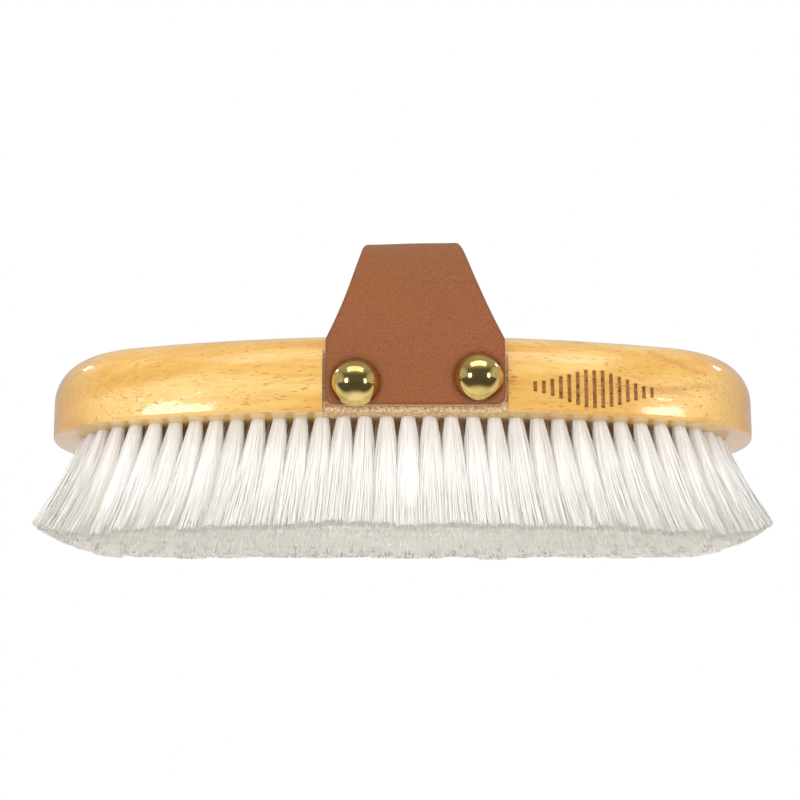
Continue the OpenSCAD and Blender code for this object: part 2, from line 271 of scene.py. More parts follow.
def wood_material():
    """Clear coated wood; raw marks bare wood in the strap recesses and burn the cut ornament."""
    m = Nodes("lacquered_wood")
    broad = m.noise(m.scaled(8, 75, 85), detail=3, rough=0.55, distort=0.8)
    fine = m.noise(m.scaled(45, 900, 900, (3, 1, 7)), detail=3, rough=0.6)
    pores = m.noise(m.scaled(230, 2100, 2100, (5, 2, 9)), detail=1.5, rough=0.5)
    patch = m.noise(m.scaled(24, 75, 75, (11, 4, 2)), detail=2, rough=0.5, distort=1.0)
    gold = m.mix(m.ramp(broad, 0.36, 0.66), (0.83, 0.54, 0.17), (0.71, 0.385, 0.078))
    gold = m.mix(m.ramp(fine, 0.45, 0.75, 0, 0.40), gold, (0.53, 0.245, 0.05))
    gold = m.mix(m.ramp(patch, 0.58, 0.76, 0, 0.55), gold, (0.52, 0.215, 0.04))
    pore = m.math("MULTIPLY", m.ramp(pores, 0.61, 0.70), m.ramp(patch, 0.3, 0.7, 0.3, 0.85))
    gold = m.mix(pore, gold, (0.38, 0.165, 0.038))
    # painted shade: the block's ends are darkened, as they turn away from the light in front
    painted_end_shade = m.ramp(m.math("ABSOLUTE", m.axis(0)), 0.078, 0.100, 0, 0.8)
    gold = m.mix(painted_end_shade, gold, (0.52, 0.245, 0.052))
    raw = m.value("raw")
    crumb = m.noise(m.scaled(1300, 1300, 1300, (8, 8, 8)), detail=3, rough=0.65)
    raw_colour = m.mix(m.ramp(crumb, 0.40, 0.66), (0.80, 0.585, 0.335), (0.42, 0.245, 0.115))
    gold = m.mix(raw, gold, raw_colour)
    burn = m.value("burn")
    char = m.mix(m.ramp(fine, 0.3, 0.7), (0.46, 0.235, 0.08), (0.29, 0.135, 0.042))
    char = m.mix(m.ramp(crumb, 0.52, 0.62), char, (0.13, 0.055, 0.018))
    gold = m.mix(burn, gold, char)
    bare = m.math("MAXIMUM", raw, burn)
    rough = m.math("MAXIMUM", m.math("MULTIPLY", bare, 0.72), 0.34)
    height = m.math("SUBTRACT", m.noise(m.scaled(30, 300, 300)), m.math("MULTIPLY", pore, 0.6))
    crumbs = m.math("MULTIPLY", m.math("MULTIPLY", crumb, bare), 5.0)
    m.set(Base_Color=gold, Roughness=rough, Specular_IOR_Level=0.35)
    m.set(Normal=m.bump(m.math("ADD", height, crumbs), 0.00006, 0.4))
    m.set(Coat_Weight=m.math("SUBTRACT", 0.85, bare), Coat_Roughness=0.085)
    wave = m.noise(m.scaled(90, 210, 210, (2, 8, 4)), detail=3)
    m.set(Coat_Normal=m.bump(wave, 0.0006, 0.26))
    return m.material


def hair_material(name, dark, root_shade, glow, root_glow):
    """Pale hair, toned strand by strand, with painted shade tinted by light off the wood near the roots
    and painted warm shade on the cut tips; glow stands for light let through.
    """
    m = Nodes(name)
    tone = m.value("tone")
    depth = m.value("depth")
    along = m.noise(m.scaled(900, 900, 120), detail=2)
    light = (0.94 * dark, 0.912 * dark, 0.868 * dark)
    pale = m.mix(m.ramp(tone, 0.3, 1.0), light, (0.89 * dark, 0.835 * dark, 0.74 * dark))
    pale = m.mix(m.ramp(along, 0.4, 0.85, 0, 0.08), pale, (0.72, 0.62, 0.49))
    # painted warm shade on the trimmed tips, where the bristle face looks down
    pale = m.mix(m.ramp(depth, 0.955, 1.0, 0, 0.45), pale, (0.84, 0.77, 0.62))
    # painted shade near the roots, tinted orange by light bounced off the wood
    root_shaded_colour = m.mix(m.ramp(depth, 0.05, 0.5, root_shade, 0.0), pale, (0.40, 0.21, 0.075))
    m.set(Base_Color=root_shaded_colour, Roughness=0.5, Specular_IOR_Level=0.3)
    m.set(Sheen_Weight=0.25, Sheen_Roughness=0.4)
    m.set(Emission_Color=root_shaded_colour, Emission_Strength=m.ramp(depth, 0.05, 0.6, root_glow, glow))
    m.set(Normal=m.bump(m.noise(m.scaled(5200, 5200, 260), detail=1), 0.00004, 0.3))
    return m.material


def leather_material():
    m = Nodes("strap_leather")
    pebble = m.cells(m.scaled(1900, 1900, 1900))
    small = m.noise(m.scaled(2200, 2200, 2200), detail=3, rough=0.6)
    cloud = m.noise(m.scaled(45, 45, 45, (4, 1, 3)), detail=3, rough=0.55)
    height = m.ramp(m.axis(2), BASE + ARCH_Z, BASE + crown_hi.z - CROWN_FADE)
    base = m.mix(height, (0.290, 0.090, 0.026), (0.280, 0.085, 0.016))
    base = m.mix(m.ramp(cloud, 0.35, 0.75, 0, 0.30), base, (0.245, 0.080, 0.030))
    base = m.mix(m.ramp(pebble, 0.30, 0.75, 0, 0.35), base, (0.15, 0.045, 0.015))
    base = m.mix(m.ramp(small, 0.50, 0.72, 0, 0.38), base, (0.47, 0.19, 0.07))
    # painted shadow rings round the nail caps, and real darkening along the strap's edges
    wear_and_shadow = m.value("wear_and_shadow")
    base = m.mix(m.math("MULTIPLY", wear_and_shadow, 0.55), base, (0.12, 0.042, 0.017))
    scuff = m.ramp(m.noise(m.scaled(160, 160, 700, (7, 7, 1)), detail=2), 0.66, 0.78, 0, 0.2)
    base = m.mix(scuff, base, (0.42, 0.19, 0.10))
    grain = m.math("ADD", m.math("MULTIPLY", pebble, -1.0), m.math("MULTIPLY", small, 0.6))
    m.set(Base_Color=base, Roughness=m.ramp(small, 0.3, 0.7, 0.44, 0.60))
    m.set(Specular_IOR_Level=0.26, Normal=m.bump(grain, 0.0004, 0.75), Sheen_Weight=0.02)
    return m.material


def raw_edge_material():
    m = Nodes("leather_cut_edge")
    layer = m.noise(m.scaled(900, 900, 900), detail=3, rough=0.6)
    speck = m.noise(m.scaled(2400, 2400, 2400, (4, 4, 4)), detail=2)
    base = m.mix(m.ramp(layer, 0.3, 0.7), (0.62, 0.42, 0.27), (0.44, 0.26, 0.15))
    base = m.mix(m.ramp(speck, 0.56, 0.66, 0, 0.8), base, (0.22, 0.10, 0.05))
    m.set(Base_Color=base, Roughness=0.82, Specular_IOR_Level=0.2)
    m.set(Normal=m.bump(m.math("ADD", layer, speck), 0.00035, 0.5))
    return m.material


def brass_material():
    m = Nodes("cap_brass")
    tarnish = m.noise(m.scaled(170, 170, 170, (2, 5, 1)), detail=3, rough=0.6)
    scratch = m.noise(m.scaled(2600, 300, 2600), detail=2)
    base = m.mix(m.ramp(tarnish, 0.35, 0.75), (0.76, 0.575, 0.22), (0.56, 0.405, 0.135))
    m.set(Base_Color=base, Metallic=1.0, Roughness=m.ramp(tarnish, 0.3, 0.8, 0.085, 0.17))
    m.set(Normal=m.bump(scratch, 0.00003, 0.12))
    return m.material


def steel_material(name):
    m = Nodes(name)
    drawn = m.noise(m.scaled(3000, 300, 3000), detail=2)
    spots = m.noise(m.scaled(300, 300, 300), detail=3)
    base = m.mix(m.ramp(spots, 0.4, 0.7), (0.56, 0.56, 0.58), (0.42, 0.41, 0.40))
    m.set(Base_Color=base, Metallic=1.0, Roughness=m.ramp(drawn, 0.3, 0.7, 0.24, 0.40))
    m.set(Normal=m.bump(drawn, 0.00004, 0.3))
    return m.material


WOOD = wood_material()
HAIR = hair_material("hair", 1.0, 0.08, 0.12, 0.10)
# the inner rings carry much more painted root shade, for the deep shade between the tufts
HAIR_INNER = hair_material("hair_inner", 0.97, 0.92, 0.24, 0.03)
HAIR_CORE = hair_material("hair_core", 0.96, 0.25, 0.16, 0.08)
LEATHER_FACE = leather_material()
LEATHER_EDGE = raw_edge_material()
BRASS = brass_material()

# ---------------------------------------------------------------- wooden block


def recess_floor_y(z):
    """Distance from the middle plane to the floor of the strap recess at height z."""
    up = np.clip((z - ARCH_Z) / RECESS_R, 0, 1)
    return RECESS_R * np.sqrt(1 - up * up)


WALL_STEP = 0.22 * MM
SANDED_IN = 0.12 * MM
SANDED_HEIGHT = 3.5 * MM


def arc_points(centre_d, centre_z, radius, angles):
    """Profile points on an arc about a centre, which lies in from the outline."""
    return [(centre_d - radius * math.cos(t), centre_z + radius * math.sin(t)) for t in angles]


def block_profile():
    """(distance in from the outline, height) from the underside over the wall to the middle."""
    foot = [
        (FOOT_R * (1 - math.sin(t)), FOOT_R * (1 - math.cos(t)))
        for t in np.linspace(0, math.pi / 2, 6)
    ]
    wall = [(0, z) for z in np.arange(FOOT_R + WALL_STEP, WALL, WALL_STEP)]
    # the lowest part of the wall is sanded in a little
    eased = [
        (d + SANDED_IN * max(1 - (z - FOOT_R) / SANDED_HEIGHT, 0) ** 2, z) for d, z in foot + wall
    ]
    rise = CAMBER_R - BLOCK_TOP + WALL
    turn = math.asin(rise / (CAMBER_R - SHOULDER_R))
    camber_in = SHOULDER_R + (CAMBER_R - SHOULDER_R) * math.cos(turn)
    shoulder = arc_points(SHOULDER_R, WALL, SHOULDER_R, np.linspace(0, turn, 46))
    camber_angles = np.linspace(turn, math.pi / 2, 14)[1:]
    camber = arc_points(camber_in, BLOCK_TOP - CAMBER_R, CAMBER_R, camber_angles)
    return np.array(eased + shoulder + camber)


TICKS = 15
TICK_PITCH = 2.35 * MM
TICK_WIDTH = 1.0 * MM
TICK_TALL = 10.4 * MM
TICK_SHORT = 2.6 * MM
TICK_DEPTH = 0.6 * MM
TICK_X = 52 * MM
TICK_Z = 7 * MM
STATIONS = 560  # round the block's outline
STRAIGHT_TO = 32 * MM  # the stations run straight across the brush this far from its middle
SLANTED_FROM = 60 * MM


def build_block():
    oval = Oval(HALF_LENGTH, HALF_WIDTH, END_R)
    q = oval.quarter
    # distances round the outline: even ones, and pairs close together at each cut edge
    ticks = [3 * q + TICK_X + (i - (TICKS - 1) / 2) * TICK_PITCH for i in range(TICKS)]
    edge = [TICK_WIDTH / 2 - 0.05 * MM, TICK_WIDTH / 2 + 0.05 * MM]
    s = list(np.linspace(0, 4 * q, STATIONS, endpoint=False))
    s = [v for v in s if not ticks[0] - 2 * MM < v < ticks[-1] + 2 * MM]
    s += [c + side * e for c in ticks for side in (-1, 1) for e in edge] + ticks
    s += [ticks[0] - 1.7 * MM, ticks[-1] + 1.7 * MM]
    for x in (STRAP_X - RECESS_HALF, STRAP_X + RECESS_HALF):
        for nudge in (-0.06 * MM, 0.06 * MM):
            turn = oval.side * math.asin((x + nudge) / oval.side)
            s += [q - turn, 3 * q + turn]
    s = np.array(sorted(s))
    p, n = oval.points(s)
    profile = block_profile()
    d, z = profile[:, 0][:, None], profile[:, 1][:, None]
    x0, y_sign = p[None, :, 0], np.sign(p[None, :, 1])
    # near the strap the stations run straight across, so that the recess has straight sides
    keep_x = 1 - smooth_step(STRAIGHT_TO, SLANTED_FROM, np.abs(x0))
    x = x0 - n[None, :, 0] * d * (1 - keep_x)
    y = p[None, :, 1] - n[None, :, 1] * d
    on_side = np.abs(x0) < oval.side * math.cos(oval.angle) - MM
    arc = np.sqrt(np.maximum((oval.side - d) ** 2 - x**2, 0)) - (oval.side - oval.b)
    y = np.where(on_side, y_sign * arc, y)
    z = np.broadcast_to(z, x.shape).copy()
    inside = np.abs(x0 - STRAP_X) < RECESS_HALF
    core = recess_floor_y(z)
    cut = inside & (np.abs(y) > core)
    y = np.where(cut, y_sign * core, y)
    burn = np.zeros_like(x)
    for i, c in enumerate(ticks):
        tall = TICK_SHORT + (TICK_TALL - TICK_SHORT) * math.sin(math.pi * (i + 0.5) / TICKS) ** 2
        in_tick = (np.abs(s[None, :] - c) < TICK_WIDTH / 2) & (np.abs(z - TICK_Z) < tall / 2)
        burn = np.where(in_tick, 1.0, burn)
    x = x - n[None, :, 0] * burn * TICK_DEPTH
    y = y - n[None, :, 1] * burn * TICK_DEPTH
    rows, cols = x.shape
    verts = np.stack([x, y, z], -1).reshape(-1, 3)
    faces = grid_quads(rows, cols, wrap=True).tolist()
    # the flat underside and the flat top are each one face
    faces.append(list(range(cols))[::-1])
    faces.append(list(range((rows - 1) * cols, rows * cols)))
    me = bpy.data.meshes.new("wooden_block")
    me.from_pydata((verts + np.array([0, 0, BASE])).tolist(), [], faces)
    smooth = np.ones(len(me.polygons), bool)
    smooth[-2:] = False
    me.polygons.foreach_set("use_smooth", smooth)
    me.materials.append(WOOD)
    ob = bpy.data.objects.new("wooden_block", me)
    bpy.context.scene.collection.objects.link(ob)
    add_value(ob, "burn", burn.reshape(-1))
    add_value(ob, "raw", cut.reshape(-1).astype(float))
    me.set_sharp_from_angle(angle=math.radians(38))
    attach(ob, BODY)
    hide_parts("block")


build_block()

# ---------------------------------------------------------------- leather strap


CORNER_R = 2.6 * MM
LEAN = 0.7 * MM  # the crown stands this far to the left of the ends
TILT = (0.35 * MM, 0.4 * MM)  # the crown's slope over its half width, and its rise
ROLL = 0.55 * MM  # how far the long edges turn in
ROLL_WIDTH = 0.8 * MM
DENT = 0.45 * MM  # how far each nail presses the leather in
DENT_R = 5.2 * MM
DENT_FADE = 1.6 * MM
SHADOW_RING_R = 6.6 * MM  # ring of painted shadow round the rim of each nail's cap
SHADOW_RING_WIDTH = 1.1 * MM
EDGE_WEAR = 0.7 * MM
NAIL_REACH = 30 * MM  # no nail shows on the strap above this height


def strap_half_width(z):
    """Half width of the strap at height z: straight over the nails, then bowed in to the crown."""
    chord = np.array([CROWN_HALF - STRAP_HALF, crown_hi.z - TAPER_Z])
    length = np.linalg.norm(chord)
    radius = length**2 / (8 * EDGE_BOW) + EDGE_BOW / 2
    normal = np.array([chord[1], -chord[0]]) / length
    centre = np.array([STRAP_HALF, TAPER_Z]) + chord / 2 + normal * (radius - EDGE_BOW)
    bowed = centre[0] - np.sqrt(np.maximum(radius**2 - (z - centre[1]) ** 2, 0))
    return np.where(z < TAPER_Z, STRAP_HALF, np.minimum(bowed, STRAP_HALF))


def build_strap():
    leg = ARCH_Z - STRAP_FOOT
    total = 2 * leg + math.pi * ARCH_R
    ease = np.array([0, 0.05, 0.15, 0.35, 0.7, 1.2, 1.9, 2.8]) * MM
    s = np.concatenate([ease, np.linspace(3.6 * MM, total - 3.6 * MM, 300), total - ease[::-1]])
    close = np.array([0.9, 0.94, 0.975, 0.992, 1])
    u = np.concatenate([-close[::-1], np.linspace(-0.86, 0.86, 45), close])
    # the outer face's middle line: up the front leg, over the arch, down the back leg
    turn = np.clip((s - leg) / ARCH_R, 0, math.pi)
    y = -ARCH_R * np.cos(turn)
    z = ARCH_Z + ARCH_R * np.sin(turn)
    z = np.where(s < leg, STRAP_FOOT + s, np.where(s > total - leg, STRAP_FOOT + total - s, z))
    ny, nz = -np.cos(turn), np.sin(turn)
    from_end = np.minimum(s, total - s)
    into_corner = np.clip(CORNER_R - from_end, 0, None)
    half = strap_half_width(z) - (CORNER_R - np.sqrt(CORNER_R**2 - into_corner**2))
    x = STRAP_X + u[None, :] * half[:, None]
    x = x - LEAN * smooth_step(TAPER_Z, crown_hi.z, z)[:, None]
    # the leather is pressed in a little round each nail, and its long edges roll over slightly
    near_edge = np.minimum((1 - np.abs(u))[None, :] * half[:, None], from_end[:, None])
    roll = ROLL * np.clip(1 - near_edge / ROLL_WIDTH, 0, 1) ** 2
    dent = np.zeros_like(x)
    wear_and_shadow = np.zeros_like(x)
    for lo, hi in NAILS.values():
        c = (lo + hi) / 2
        side = (y * c.y > 0)[:, None] & (z[:, None] < NAIL_REACH)
        r = np.hypot(x - c.x, z[:, None] - c.z)
        pressed = np.exp(-((np.maximum(r - DENT_R, 0)) / DENT_FADE) ** 2)
        # a thin ring of painted shadow where each cap meets the leather
        shadow_ring = np.clip(1 - np.abs(r - SHADOW_RING_R) / SHADOW_RING_WIDTH, 0, 1)
        dent = np.maximum(dent, DENT * np.where(side, pressed, 0))
        wear_and_shadow = np.maximum(wear_and_shadow, np.where(side, shadow_ring, 0))
    # leather is never quite even: three slow waves run over the arch
    phases = np.random.default_rng(11).uniform(0, math.tau, 3)
    wave = sum(
        a * MM * np.sin(k * s[:, None] / total * math.tau + l * u[None, :] * 2 + f)
        for a, k, l, f in zip((0.09, 0.07, 0.05), (3, 5, 9), (1, -1.6, 2.2), phases)
    )
    wave = wave * smooth_step(14 * MM, 24 * MM, z)[:, None]
    slope, lift = TILT
    high = smooth_step(35 * MM, crown_hi.z, z)[:, None]
    tilt = (slope * (x - STRAP_X) / CROWN_HALF + lift) * high

    def sheet(out):
        """The strap's points, moved out from its nominal outer face by out."""
        yz = [y[:, None] + ny[:, None] * out, z[:, None] + nz[:, None] * out + tilt]
        return np.stack([x, *yz], -1).reshape(-1, 3)

    rows, cols = x.shape
    count = rows * cols
    verts = np.concatenate([sheet(wave - roll - dent), sheet(wave - LEATHER + roll * 0.6)])
    face = grid_quads(rows, cols)
    under = face[:, ::-1] + count
    grid = np.arange(count).reshape(rows, cols)
    rim = np.concatenate([grid[:, 0], grid[-1, 1:], grid[-2::-1, -1], grid[0, -2:0:-1]])
    # the rim is its own set of points, with one more row halfway through the thickness
    middle = (verts[rim] + verts[rim + count]) / 2
    verts = np.concatenate([verts, verts[rim], middle, verts[rim + count]])
    edge_faces = grid_quads(3, len(rim), wrap=True, start=2 * count)[:, ::-1]
    quads = np.concatenate([face, under, edge_faces])
    index = np.zeros(len(quads), int)
    index[len(face) :] = 1
    ob = new_mesh("leather_strap", verts, quads, [LEATHER_FACE, LEATHER_EDGE], index=index)
    wear_and_shadow = np.maximum(wear_and_shadow, 0.8 * np.clip(1 - near_edge / EDGE_WEAR, 0, 1))
    add_value(ob, "wear_and_shadow", np.concatenate([wear_and_shadow.reshape(-1), np.zeros(len(verts) - count)]))
    normals_out(ob)
    ob.data.set_sharp_from_angle(angle=math.radians(40))
    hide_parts("strap_end_front", "strap_crown", "strap_end_back")
    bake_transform(ob)


build_strap()

# ---------------------------------------------------------------- domed nails


def build_cap(node, lo, hi):
    """Sheet brass dome with a rolled rim; its axis points straight out of the wood."""
    radius = (hi.x - lo.x) / 2
    height = hi.y - lo.y
    out = 1 if lo.y > 0 else -1
    seat = lo.y if out > 0 else hi.y
    ball = (radius**2 + height**2) / (2 * height)
    centre = height - ball
    top = math.acos(-centre / ball) if centre < 0 else math.pi / 2
    dome = [(ball * math.sin(t), centre + ball * math.cos(t)) for t in np.linspace(0.0, top, 44)]
    # rolled rim, as (beyond the dome's radius, above its seat) in millimetres
    curl = ((0.10, -0.1), (0.05, -0.3), (-0.2, -0.45), (-0.7, -0.42), (-0.9, 0.2))
    rim = [(radius + d * MM, h * MM) for d, h in curl]
    line = np.array([(max(r, 0.004 * MM), h) for r, h in dome + rim])
    sides = 128
    t = np.linspace(0, math.tau, sides, endpoint=False)
    rng = np.random.default_rng(int(abs(lo.x) * 1e5))
    wobble = 1 + 0.004 * np.sin(2 * t + rng.uniform(0, 6))
    wobble = wobble + 0.003 * np.sin(3 * t + rng.uniform(0, 6))
    r = line[:, 0][:, None] * wobble[None, :]
    h = np.broadcast_to(line[:, 1][:, None], r.shape)
    cx, cz = (lo.x + hi.x) / 2, (lo.z + hi.z) / 2
    verts = np.stack([cx + r * np.cos(t), seat + out * h, cz + r * np.sin(t)], -1).reshape(-1, 3)
    ob = new_mesh("dome_" + node, verts, grid_quads(len(line), sides, wrap=True), [BRASS])
    normals_out(ob)
    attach(ob, BODY)
    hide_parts(node)


for name, (lo, hi) in sorted(NAILS.items()):
    build_cap(name, lo, hi)

for name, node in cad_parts.items():
    if name.startswith("nail_shank") or name.startswith("anchors"):
        slot = "shank_steel" if name.startswith("nail") else "anchor_wire"
        material = bpy.data.materials.get(slot + "_visual") or steel_material(slot + "_visual")
        node.data.materials.clear()
        node.data.materials.append(material)

# ---------------------------------------------------------------- hair tufts

HAIR_DEPTH = 30.8 * MM  # of the trimmed face in its middle, below the wood
FAN = np.array([0.115, 0.17])  # how far the tips lean out, as a share of each root's distance
OUTER_INSET = 9.7 * MM
RING_SPACING = 6.9 * MM
TUFT_PITCH = 5.8 * MM
STAGGER = 0.3  # each ring starts this share of a pitch further on
RING_END_SHARE = 0.756  # end radius of a ring, as a share of its half width
RINGS = 5
ROOT_R = 1.58 * MM
TIP_R = 4.2 * MM
SINK = 0.8 * MM  # the strands start this far inside their holes
SOFT = 0.72  # share of a strand's shading that follows its tuft's surface
OUTER_SHARE = 0.64  # share of a tuft's strands that lie near its surface
FINE_HAIR = 0.12 * MM
THICK_HAIR = 0.13 * MM
STRAY_WIDTH = 0.085 * MM


def ring_positions(k):
    a = HALF_LENGTH - OUTER_INSET - k * RING_SPACING
    b = HALF_WIDTH - OUTER_INSET - k * RING_SPACING
    oval = Oval(a, b, RING_END_SHARE * b)
    n = round(4 * oval.quarter / TUFT_PITCH)
    return oval.points((np.arange(n) + k * STAGGER) * 4 * oval.quarter / n)[0]


def row_positions():
    reach = HALF_LENGTH - OUTER_INSET - RINGS * RING_SPACING
    m = int(reach / TUFT_PITCH)
    return np.array([[i * TUFT_PITCH, 0.0] for i in range(-m, m + 1)])


def trim_surface(xy):
    """Depth at which the hair is cut: level in the middle, less towards the ends and the back."""

    def cut(distance, start, over, most, power):
        """Shortening that sets in at start and reaches most after a further over."""
        return most * MM * (np.clip(distance - start * MM, 0, None) / (over * MM)) ** power

    x, y = np.abs(xy[..., 0]), xy[..., 1]
    ends = cut(x, 83, 21, 6.8, 2)
    front = cut(-y, 14, 28, 0.7, 2)
    back = cut(y, 0, 44, 5.3, 1.2)
    return HAIR_DEPTH - ends - front - back


def spread(t, root, tip):
    """Radius of a tuft at share t of its length: narrow in the hole, soon opened out."""
    return root + (tip - root) * (1 - (1 - np.clip(t, 0, 1)) ** 1.9)


def bend_share(t):
    """How much of its sideways fan a tuft has reached at share t of its length."""
    return 0.5 * t + 0.5 * t**2


def sheet_normals(away, t, outward):
    """Turns a tuft's normals towards the brush's outside, where the tufts close into one sheet."""
    facing = np.clip(away[..., :2] @ outward, 0, 1)[..., None]
    on_side = 1 - 0.6 * outward[0] ** 4
    sheet = smooth_step(0.2, 0.75, t)[..., None] * (0.35 + 0.5 * facing) * on_side
    away = away * (1 - sheet) + np.array([*outward, 0]) * sheet
    tip = smooth_step(0.75, 0.98, t)[..., None] * (1 - smooth_step(0.25, 0.6, facing))
    away = away * (1 - 0.8 * tip)
    away[..., 2] -= 0.12 + 0.9 * tip[..., 0]
    return away


def outward_of(p):
    """Level direction in which the outside of the brush faces near a tuft."""
    size = np.hypot(*p)
    if size == 0:
        return np.array([0.0, -1.0])
    way = p / size * (np.array([0.6, 1.0]) if abs(p[1]) > 0.3 * size else 1)
    return way / np.hypot(*way)


def strand_paths(p, count, steps, rng):
    """Centre lines of the hairs of one tuft, as an array of count by steps points."""
    near_surface = rng.uniform(0.80, 1.03, count)
    anywhere = np.sqrt(rng.uniform(0, 1, count))
    rho = np.where(np.arange(count) < OUTER_SHARE * count, near_surface, anywhere)
    phi = rng.uniform(0, math.tau, count)
    t = np.linspace(0, 1, steps)[None, :]
    fan = p * FAN * rng.normal(1, 0.05)
    drift = rng.normal(0, 0.16 * MM, (count, 2))
    twist = rng.normal(0, 0.25, count)[:, None] * t + rng.normal(0, 0.12)
    r = rho[:, None] * spread(t, ROOT_R, TIP_R) * (1 + rng.normal(0, 0.05, count)[:, None] * t)
    a = phi[:, None] + twist
    bend = bend_share(t)
    xy = p + fan * bend[..., None] + np.stack([r * np.cos(a), r * np.sin(a)], -1)
    xy = xy + drift[:, None, :] * (t**2)[..., None]
    wave = rng.normal(0, 0.10 * MM, (count, 2))
    xy = xy + wave[:, None, :] * np.sin(t * math.pi * 1.6)[..., None]
    uneven = rng.normal(0, 0.25 * MM) - rng.gamma(1.2, 0.32 * MM, count) + 0.4 * MM
    depth = trim_surface(xy[:, -1]) + uneven
    z = SINK - (depth + SINK)[:, None] * t
    return np.concatenate([xy, z[..., None]], -1)


def strand_tubes(paths, width, rng, middle=None, outward=None):
    """Three-sided tapering tubes along the paths: points, faces, tones, depths and normals."""
    count, steps, _ = paths.shape
    t = np.linspace(0, 1, steps)
    thick = width * rng.uniform(0.75, 1.25, count)[:, None] * (1 - 0.40 * t**4)[None, :]
    spin = rng.uniform(0, math.tau, count)
    ang = spin[:, None] + np.arange(3)[None, :] * math.tau / 3
    ring = np.stack([np.cos(ang), np.sin(ang), np.zeros_like(ang)], -1)
    pts = paths[:, :, None, :] + ring[:, None, :, :] * thick[:, :, None, None]
    base = (np.arange(count) * steps * 3)[:, None, None]
    i = np.arange(steps - 1)[None, :, None] * 3
    j = np.arange(3)[None, None, :]
    k = (j + 1) % 3
    corners = [base + i + j, base + i + 3 + j, base + i + 3 + k, base + i + k]
    quads = np.stack(corners, -1).reshape(-1, 4)
    tone = np.repeat(np.clip(rng.beta(1.5, 3.0, count), 0, 1), steps * 3)
    depth = np.tile(np.repeat(t, 3), count)
    normal = np.broadcast_to(ring[:, None, :, :], pts.shape).copy()
    if middle is not None:
        # hairs are lit mostly as the surface of their tuft, as a soft bundle is
        away = paths - middle[None, :, :]
        away[..., 2] = 0
        away /= np.linalg.norm(away, axis=-1, keepdims=True) + 1e-9
        away = sheet_normals(away, t[None, :], outward)
        normal = SOFT * away[:, :, None, :] + (1 - SOFT) * normal
    return pts.reshape(-1, 3), quads, tone, depth, normal.reshape(-1, 3)


def tuft_core(p, rng):
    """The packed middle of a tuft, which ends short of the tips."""
    sides = 12
    t = np.array([0.0, 0.08, 0.18, 0.32, 0.5, 0.7, 0.86, 0.93])
    packed = np.array([0.95, 0.95, 0.94, 0.93, 0.92, 0.88, 0.72, 0.12])
    a = np.linspace(0, math.tau, sides, endpoint=False) + rng.uniform(0, 1)
    centre = p + (p * FAN)[None, :] * bend_share(t)[:, None]
    r = spread(t, ROOT_R, TIP_R) * packed
    ridge = 1 + 0.06 * np.sin(a * 4 + rng.uniform(0, 6))
    ridge = ridge + 0.04 * np.sin(a * 7 + rng.uniform(0, 6))
    around = np.stack([np.cos(a), np.sin(a)], -1)
    xy = centre[:, None, :] + (r[:, None] * ridge)[..., None] * around[None]
    depth = trim_surface(p * (1 + FAN))
    z = np.broadcast_to((SINK - (depth + SINK) * t)[:, None], xy.shape[:2])
    verts = np.concatenate([xy, z[..., None]], -1).reshape(-1, 3)
    normal = np.tile(np.concatenate([around, np.zeros((sides, 1))], -1), (len(t), 1))
    normal = sheet_normals(normal, np.repeat(t, sides), outward_of(p))
    quads = grid_quads(len(t), sides, wrap=True)[:, ::-1]
    return verts, quads, np.full(len(verts), 0.45), np.repeat(t, sides), normal


def hair_object(name, parts, materials, node=None):
    """Joins (points, faces, tone, depth, normal, material index) parts into one piece of hair."""
    start = 0
    quads, index = [], []
    for part in parts:
        quads.append(part[1] + start)
        index.append(np.full(len(part[1]), part[5]))
        start += len(part[0])
    joined = [np.concatenate([part[i] for part in parts]) for i in (0, 2, 3, 4)]
    verts, tone, depth, normal = joined
    ob = new_mesh(name, verts, np.concatenate(quads), materials, index=np.concatenate(index))
    add_value(ob, "tone", tone)
    add_value(ob, "depth", depth)
    normal /= np.linalg.norm(normal, axis=-1, keepdims=True)
    ob.data.normals_split_custom_set_from_vertices(normal.tolist())
    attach(ob, BODY)
    if node:
        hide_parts(node)


def build_tufts(name, positions, count, steps, width, seed, node, face=HAIR_INNER):
    """One piece of hair with a tuft at each position: count strands of steps points over a core."""
    rng = np.random.default_rng(seed)
    bend = bend_share(np.linspace(0, 1, steps))[:, None]
    parts = []
    for p in positions:
        mood = rng.normal(0, 0.07)
        middle = np.column_stack([p + (p * FAN)[None, :] * bend, np.zeros(steps)])
        core = tuft_core(p, rng)
        paths = strand_paths(p, count, steps, rng)
        hairs = strand_tubes(paths, width, rng, middle, outward_of(p))
        for (v, f, tone, depth, normal), material in ((core, 1), (hairs, 0)):
            parts.append((v, f, np.clip(tone + mood, 0, 1), depth, normal, material))
    hair_object(name, parts, [face, HAIR_CORE], node)


def build_stray(name, spots, count, wander, overhang, seed):
    """Loose hairs that stand out from the tufts or hang below the bristle face."""
    rng = np.random.default_rng(seed)
    pick = spots[rng.integers(0, len(spots), count)]
    steps = 8
    t = np.linspace(0, 1, steps)[None, :, None]
    away = pick * FAN + rng.normal(0, wander, (count, 2))
    curl = rng.normal(0, 1.3 * MM, (count, 2))
    start = pick + rng.normal(0, 0.8 * MM, (count, 2))
    xy = start[:, None, :] + away[:, None, :] * t + curl[:, None, :] * np.sin(t * math.pi)
    depth = trim_surface(xy[:, -1]) + rng.uniform(-0.5 * MM, overhang, count)
    z = -depth[:, None] * t[..., 0]
    paths = np.concatenate([xy, z[..., None]], -1)
    hair_object(name, [(*strand_tubes(paths, STRAY_WIDTH, rng), 0)], [HAIR])


def by_heading(spots, shares):
    """The spots in order round the brush, split into equal shares."""
    order = np.argsort(np.arctan2(spots[:, 1], spots[:, 0]), kind="stable")
    return [spots[chosen] for chosen in np.array_split(order, shares)]


